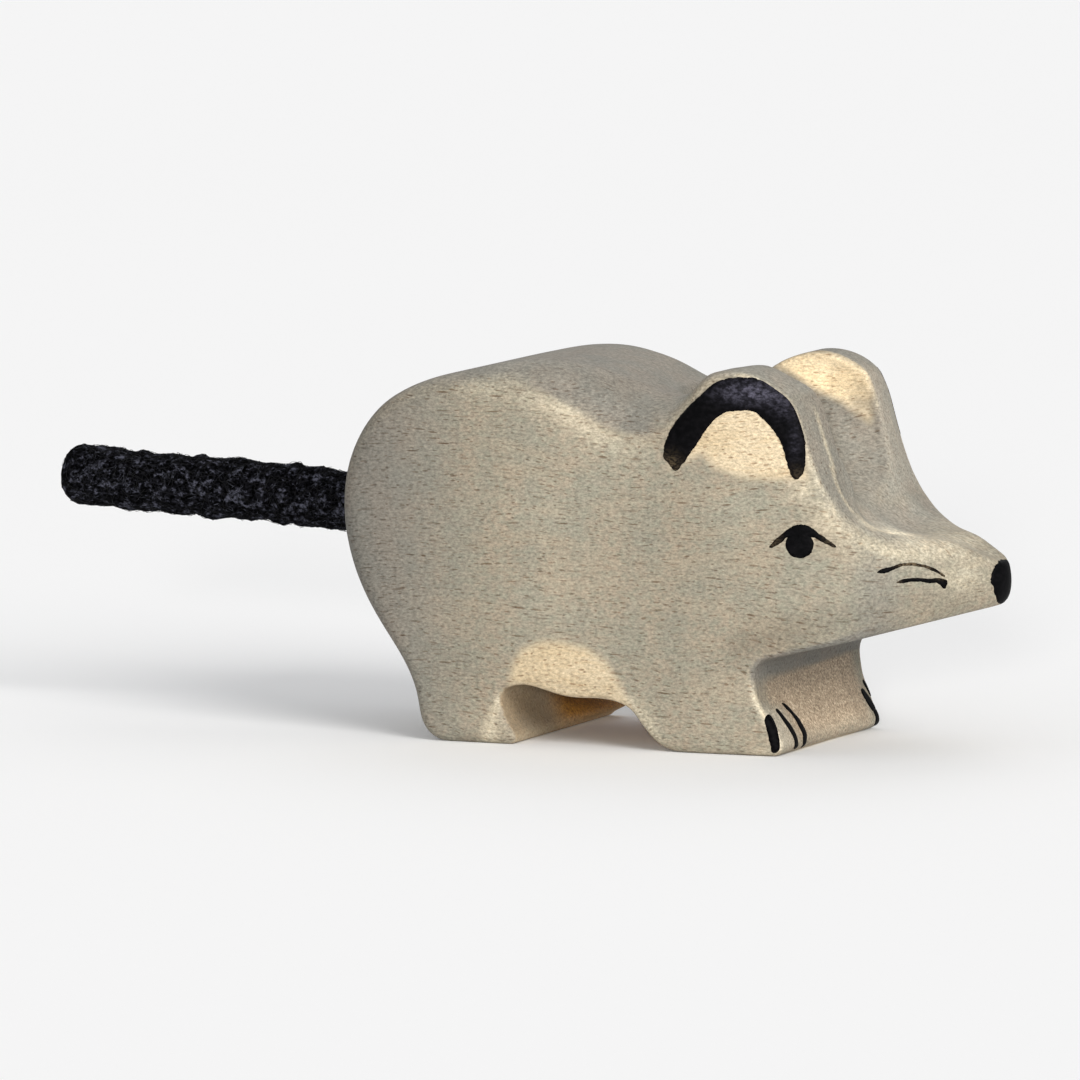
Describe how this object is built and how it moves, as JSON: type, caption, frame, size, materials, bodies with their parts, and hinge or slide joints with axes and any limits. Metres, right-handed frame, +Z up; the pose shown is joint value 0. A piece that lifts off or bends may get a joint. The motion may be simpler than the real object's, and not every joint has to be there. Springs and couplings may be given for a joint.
{
  "type": "wooden mouse figurine",
  "caption": "Free-standing wooden mouse figurine, sawn from plank and stained grey, with black painted face marks and a bendable felted cord tail glued into the rump.",
  "frame": {"origin": "on the ground under the middle of the whole length, tail included, and in the middle of the thickness", "axes": "+X to the nose, +Y to the mouse's left, +Z up"},
  "size_m": [0.0863, 0.023, 0.0326],
  "materials": {
    "stained_wood": "fine-sanded beech-type wood, thin matt grey stain",
    "felt_cord": "black felted cord, fuzzy",
    "wood_glue": "set wood glue",
    "black_paint": "thin black brush paint, satin"
  },
  "bodies": {
    "figure": {"body": "stained_wood", "tail_glue": "wood_glue", "tail_root": "felt_cord", "nose_paint": "black_paint", "ear_paint_left": "black_paint", "ear_paint_right": "black_paint", "eye_paint_left": "black_paint", "eye_paint_right": "black_paint", "mouth_paint_left": "black_paint", "mouth_paint_right": "black_paint", "claw_paint_left": "black_paint", "claw_paint_right": "black_paint"},
    "tail_middle": {"tail_middle": "felt_cord"},
    "tail_end": {"tail_end": "felt_cord"}
  },
  "joints": [
    {"name": "tail_sway", "type": "hinge", "parent": "figure", "child": "tail_middle", "pos_m": [-0.01585, 0, 0.01877], "axis": [0, 0, 1], "range_deg": [-40, 40], "stiffness_Nm_per_rad": 0.006},
    {"name": "tail_lift", "type": "hinge", "parent": "tail_middle", "child": "tail_end", "pos_m": [-0.02584, 0, 0.01924], "axis": [0, 1, 0], "range_deg": [-35, 35], "stiffness_Nm_per_rad": 0.002}
  ]
}
